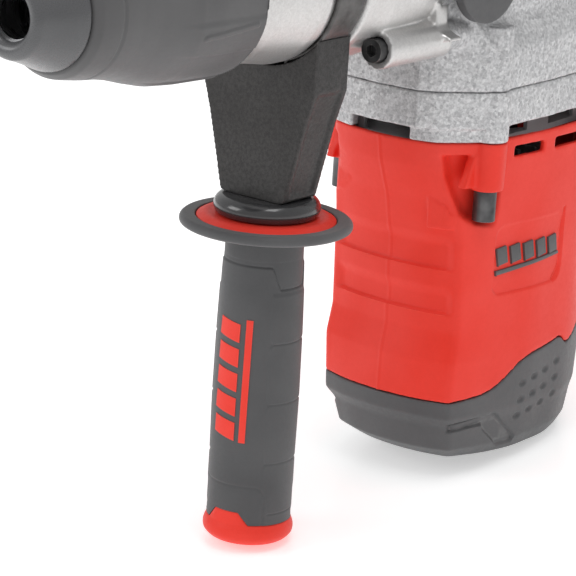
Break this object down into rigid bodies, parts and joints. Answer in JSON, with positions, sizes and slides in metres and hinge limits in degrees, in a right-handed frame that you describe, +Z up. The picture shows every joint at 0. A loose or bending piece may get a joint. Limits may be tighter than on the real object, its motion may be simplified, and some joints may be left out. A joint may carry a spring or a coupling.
{
  "type": "rotary hammer",
  "caption": "Vertical-motor rotary hammer with a sliding chuck sleeve, clamped side handle with hand guard, die-cast gear case, red motor housing and D-shaped rear handle.",
  "frame": {"origin": "centre of the tool holder's mouth, on the spindle axis", "axes": "+X along the spindle, out of the tool holder; +Y to the operator's left; +Z up, from the motor to the gear case"},
  "size_m": [0.4625, 0.0969, 0.2892],
  "materials": {
    "nose_plastic": "satin gloss moulded nose cap",
    "sleeve_rubber": "matte soft-touch skin",
    "grey_rubber": "matte soft-touch skin",
    "seal_rubber": "matte",
    "grey_plastic": "fine-textured moulding",
    "grained_plastic": "spark-grained black moulding",
    "black_plastic": "satin",
    "gloss_black": "glossy",
    "light_plastic": "plain moulding",
    "red_plastic": "satin red moulding",
    "blasted_casting": "bead-blasted die casting",
    "smooth_casting": "smoothed die casting",
    "piston_alloy": "machined",
    "hardened_steel": "ground",
    "bearing_steel": "polished",
    "spring_steel": "drawn wire",
    "band_steel": "dark coated strap",
    "black_oxide": "black oxide",
    "lamination_steel": "varnished laminations",
    "commutator_copper": "turned copper bars",
    "holder_brass": "stamped",
    "carbon": "pressed carbon"
  },
  "bodies": {
    "housing": {"neck_housing": "smooth_casting", "neck_screws": "black_oxide", "spindle_bearing": "bearing_steel", "gear_housing": "blasted_casting", "crankcase_base": "blasted_casting", "top_cover": "blasted_casting", "cover_screws": "black_oxide", "housing_screws": "black_oxide", "crank_bearing": "bearing_steel", "tube_bearing": "bearing_steel", "motor_bearing_upper": "bearing_steel", "motor_bearing_lower": "bearing_steel", "stator": "lamination_steel", "brush_holders": "holder_brass", "air_baffle": "light_plastic", "motor_housing": "red_plastic", "base_cap": "grey_plastic", "rear_handle_left": "red_plastic", "rear_handle_right": "red_plastic", "rear_grip_cover": "grey_rubber", "switch_body": "black_plastic", "cord_gland": "seal_rubber", "handle_screws": "black_oxide"},
    "spindle": {"tool_holder": "hardened_steel", "dust_cap": "nose_plastic", "hammer_tube": "hardened_steel", "crown_gear": "hardened_steel", "sleeve_spring": "spring_steel"},
    "sleeve": {"locking_sleeve": "sleeve_rubber"},
    "roller_up": {"locking_roller_upper": "hardened_steel"},
    "roller_down": {"locking_roller_lower": "hardened_steel"},
    "side_handle": {"clamp_band": "band_steel", "handle_block": "grained_plastic", "clamp_bolt": "black_oxide", "thrust_collar": "gloss_black"},
    "side_grip": {"guard_disc": "grey_rubber", "guard_insert": "red_plastic", "grip_core": "grey_plastic", "grip_sleeve": "grey_rubber", "grip_end_cap": "red_plastic"},
    "mode_switch": {"mode_knob": "grey_plastic", "mode_shaft": "hardened_steel"},
    "beat_piece": {"impact_bolt": "hardened_steel"},
    "ram": {"striker": "hardened_steel"},
    "piston_group": {"piston": "piston_alloy", "wrist_pin": "hardened_steel"},
    "rod": {"connecting_rod": "piston_alloy"},
    "crank": {"crank_shaft": "hardened_steel", "crank_gear": "hardened_steel"},
    "lay_gear": {"lay_shaft": "hardened_steel", "clutch_gear": "hardened_steel"},
    "armature": {"armature_shaft": "hardened_steel", "armature_core": "lamination_steel", "commutator": "commutator_copper", "cooling_fan": "grey_plastic"},
    "brush_left": {"carbon_brush_left": "carbon"},
    "brush_right": {"carbon_brush_right": "carbon"},
    "trigger_body": {"trigger": "black_plastic"},
    "lock_body": {"lock_button": "black_plastic"},
    "dial_body": {"speed_dial": "black_plastic"}
  },
  "joints": [
    {"name": "motor_spin", "type": "hinge", "parent": "housing", "child": "armature", "pos_m": [-0.305, 0, 0], "axis": [0, 0, 1], "continuous": true},
    {"name": "crank_spin", "type": "hinge", "parent": "housing", "child": "crank", "pos_m": [-0.335, 0, 0], "axis": [0, 0, 1], "continuous": true},
    {"name": "lay_spin", "type": "hinge", "parent": "housing", "child": "lay_gear", "pos_m": [-0.278, 0, 0], "axis": [0, 0, 1], "continuous": true},
    {"name": "spindle_spin", "type": "hinge", "parent": "housing", "child": "spindle", "pos_m": [0, 0, 0], "axis": [1, 0, 0], "continuous": true},
    {"name": "sleeve_slide", "type": "slide", "parent": "spindle", "child": "sleeve", "axis": [-1, 0, 0], "range_m": [0, 0.01], "stiffness_N_per_m": 600, "springref_m": -0.006},
    {"name": "roller_up_slide", "type": "slide", "parent": "spindle", "child": "roller_up", "axis": [0, 0, 1], "range_m": [0, 0.0026]},
    {"name": "roller_down_slide", "type": "slide", "parent": "spindle", "child": "roller_down", "axis": [0, 0, -1], "range_m": [0, 0.0026]},
    {"name": "side_handle_swivel", "type": "hinge", "parent": "housing", "child": "side_handle", "pos_m": [-0.158, 0, 0], "axis": [1, 0, 0], "continuous": true},
    {"name": "grip_turn", "type": "hinge", "parent": "side_handle", "child": "side_grip", "pos_m": [-0.158, 0, -0.15], "axis": [0, 0, 1], "range_deg": [-720, 0]},
    {"name": "mode_turn", "type": "hinge", "parent": "housing", "child": "mode_switch", "pos_m": [-0.248, 0.036, -0.0035], "axis": [0, 1, 0], "range_deg": [-90, 90]},
    {"name": "beat_slide", "type": "slide", "parent": "spindle", "child": "beat_piece", "axis": [1, 0, 0], "range_m": [-0.003, 0.003]},
    {"name": "ram_slide", "type": "slide", "parent": "spindle", "child": "ram", "axis": [1, 0, 0], "range_m": [-0.014, 0.006]},
    {"name": "piston_slide", "type": "slide", "parent": "housing", "child": "piston_group", "axis": [-1, 0, 0], "range_m": [0, 0.028]},
    {"name": "rod_swing", "type": "hinge", "parent": "piston_group", "child": "rod", "pos_m": [-0.246, 0, 0], "axis": [0, 0, 1], "range_deg": [-10.8, 10.8]},
    {"name": "brush_left_slide", "type": "slide", "parent": "housing", "child": "brush_left", "axis": [0, 1, 0], "range_m": [0, 0.004], "stiffness_N_per_m": 300, "springref_m": -0.003},
    {"name": "brush_right_slide", "type": "slide", "parent": "housing", "child": "brush_right", "axis": [0, -1, 0], "range_m": [0, 0.004], "stiffness_N_per_m": 300, "springref_m": -0.003},
    {"name": "trigger_pull", "type": "slide", "parent": "housing", "child": "trigger_body", "axis": [-1, 0, 0], "range_m": [0, 0.006], "stiffness_N_per_m": 800, "springref_m": -0.005},
    {"name": "lock_press", "type": "slide", "parent": "housing", "child": "lock_body", "axis": [0, -1, 0], "range_m": [0, 0.0025], "stiffness_N_per_m": 500, "springref_m": -0.003},
    {"name": "dial_turn", "type": "hinge", "parent": "housing", "child": "dial_body", "pos_m": [-0.398, 0, 0.028], "axis": [0, 1, 0], "range_deg": [0, 270]}
  ],
  "couplings": [
    {"joint": "crank_spin", "follows": "motor_spin", "ratio": -0.17647},
    {"joint": "lay_spin", "follows": "motor_spin", "ratio": -0.2},
    {"joint": "spindle_spin", "follows": "motor_spin", "ratio": -0.0625},
    {"joint": "roller_up_slide", "follows": "sleeve_slide", "ratio": 0.25},
    {"joint": "roller_down_slide", "follows": "sleeve_slide", "ratio": 0.25}
  ]
}
